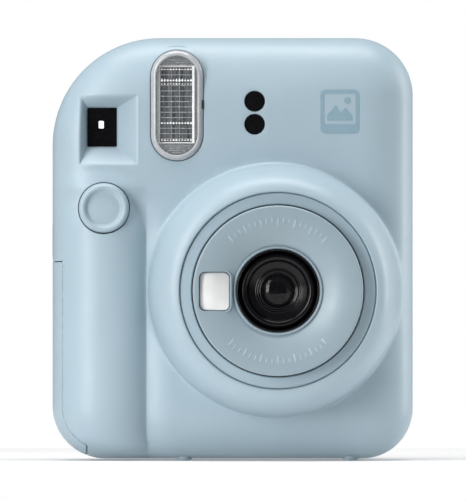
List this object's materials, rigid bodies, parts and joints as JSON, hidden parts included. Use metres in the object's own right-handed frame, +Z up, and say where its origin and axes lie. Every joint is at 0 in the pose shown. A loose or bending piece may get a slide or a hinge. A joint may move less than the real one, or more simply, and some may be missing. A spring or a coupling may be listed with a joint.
{
  "type": "instant camera",
  "caption": "Compact film instant camera with a turn-to-extend lens, capsule flash, side battery cover, rear film door and top film exit.",
  "frame": {"origin": "middle of the overall footprint, at the underside of the feet", "axes": "+Z up, the lens looks along -Y, +X to the right as seen from the front"},
  "size_m": [0.104, 0.07, 0.122],
  "materials": {
    "shell_blue": "fine satin",
    "black_plastic": "matt black",
    "clear_plastic": "clear polished plastic",
    "sensor_plastic": "gloss black",
    "white_plastic": "natural white",
    "optical_glass": "coated",
    "tube_glass": "clear",
    "mirror": "polished, slightly domed",
    "bright_metal": "bright",
    "steel": "plain",
    "grey_plastic": "soft",
    "board": "solder resist",
    "capacitor_sleeve": "shrink sleeve",
    "cell_jacket": null,
    "lead_sleeve": "insulation"
  },
  "bodies": {
    "camera": {"battery_bay": "black_plastic", "battery_cells": "cell_jacket", "battery_contacts": "steel", "battery_leads": "lead_sleeve", "button_spring": "steel", "chassis": "black_plastic", "chassis_screws": "steel", "contact_springs": "steel", "counter_window": "clear_plastic", "door_hinge_pins": "steel", "eyepiece_bezel": "black_plastic", "eyepiece_lens": "clear_plastic", "feet": "grey_plastic", "film_exit_trim": "black_plastic", "film_motor": "steel", "finder_tube": "black_plastic", "finder_window": "clear_plastic", "flash_capacitor": "capacitor_sleeve", "flash_lens": "clear_plastic", "flash_reflector": "bright_metal", "flash_tube": "tube_glass", "front_cover": "shell_blue", "lens_guide": "black_plastic", "light_box": "black_plastic", "main_board": "board", "rear_cover": "shell_blue", "roller_frame": "black_plastic", "sensor_windows": "sensor_plastic", "strap_lug": "black_plastic", "switch_board": "board"},
    "battery_cover": {"battery_cover": "shell_blue"},
    "film_door": {"film_door": "shell_blue", "film_window": "clear_plastic", "door_liner": "black_plastic", "pressure_plate": "black_plastic", "pressure_springs": "steel", "latch_spring": "steel"},
    "door_latch": {"door_latch": "shell_blue"},
    "shutter_button": {"shutter_button": "shell_blue", "button_clip": "steel"},
    "lens_ring": {"lens_ring": "shell_blue", "ring_clip": "black_plastic"},
    "lens_barrel": {"lens_barrel": "shell_blue", "selfie_mirror": "mirror", "lens_hood": "black_plastic", "front_element": "optical_glass", "lens_cell": "black_plastic", "aperture_plate": "black_plastic", "shutter_coil": "steel", "rear_element": "optical_glass"},
    "shutter_left": {"shutter_blade_left": "black_plastic"},
    "shutter_right": {"shutter_blade_right": "black_plastic"},
    "finder_mask": {"finder_mask": "black_plastic"},
    "counter_dial": {"counter_dial": "white_plastic"},
    "drive_roller": {"drive_roller": "steel", "drive_roller_gear": "white_plastic", "reduction_gear": "white_plastic"},
    "idler_roller": {"idler_roller": "steel", "idler_roller_gear": "white_plastic"},
    "motor_pinion": {"motor_pinion": "steel"}
  },
  "joints": [
    {"name": "lens_ring_turn", "type": "hinge", "parent": "camera", "child": "lens_ring", "pos_m": [0.013, 0, 0.0491], "axis": [0, -1, 0], "range_deg": [-24, 16]},
    {"name": "lens_barrel_slide", "type": "slide", "parent": "camera", "child": "lens_barrel", "axis": [0, -1, 0], "range_m": [-0.0036, 0.0024]},
    {"name": "finder_mask_shift", "type": "slide", "parent": "camera", "child": "finder_mask", "axis": [1, 0, 0], "range_m": [-0.00072, 0.00048]},
    {"name": "shutter_button_press", "type": "slide", "parent": "camera", "child": "shutter_button", "axis": [0, 1, 0], "range_m": [0, 0.0016], "stiffness_N_per_m": 400, "springref_m": -0.001, "deforming": ["button_spring"]},
    {"name": "film_door_swing", "type": "hinge", "parent": "camera", "child": "film_door", "pos_m": [-0.0265, 0.033, 0.05], "axis": [0, 0, 1], "range_deg": [0, 90]},
    {"name": "door_latch_slide", "type": "slide", "parent": "film_door", "child": "door_latch", "axis": [0, 0, 1], "range_m": [0, 0.003], "stiffness_N_per_m": 120, "springref_m": -0.002},
    {"name": "battery_cover_off", "type": "slide", "parent": "camera", "child": "battery_cover", "axis": [-1, 0, 0], "range_m": [0, 0.014]},
    {"name": "drive_roller_turn", "type": "hinge", "parent": "camera", "child": "drive_roller", "pos_m": [0.013, 0.0099, 0.1126], "axis": [1, 0, 0], "continuous": true},
    {"name": "idler_roller_turn", "type": "hinge", "parent": "camera", "child": "idler_roller", "pos_m": [0.013, 0.0181, 0.1126], "axis": [1, 0, 0], "continuous": true},
    {"name": "motor_pinion_turn", "type": "hinge", "parent": "camera", "child": "motor_pinion", "pos_m": [-0.024, 0.002, 0.10615], "axis": [1, 0, 0], "continuous": true},
    {"name": "counter_dial_turn", "type": "hinge", "parent": "camera", "child": "counter_dial", "pos_m": [-0.039, 0.031, 0.0645], "axis": [0, -1, 0], "range_deg": [0, 324]},
    {"name": "shutter_left_swing", "type": "hinge", "parent": "lens_barrel", "child": "shutter_left", "pos_m": [0.013, -0.0235, 0.0567], "axis": [0, -1, 0], "range_deg": [-26, 0], "stiffness_Nm_per_rad": 0.0002, "springref_deg": 17.19},
    {"name": "shutter_right_swing", "type": "hinge", "parent": "lens_barrel", "child": "shutter_right", "pos_m": [0.013, -0.023, 0.0567], "axis": [0, -1, 0], "range_deg": [0, 26], "stiffness_Nm_per_rad": 0.0002, "springref_deg": -17.19}
  ],
  "couplings": [
    {"joint": "lens_ring_turn", "follows": "lens_barrel_slide", "rad_per_m": 116.3},
    {"joint": "finder_mask_shift", "follows": "lens_barrel_slide", "ratio": 0.1978},
    {"joint": "idler_roller_turn", "follows": "drive_roller_turn", "ratio": -1},
    {"joint": "motor_pinion_turn", "follows": "drive_roller_turn", "ratio": -1.4286},
    {"joint": "shutter_right_swing", "follows": "shutter_left_swing", "ratio": -1}
  ]
}
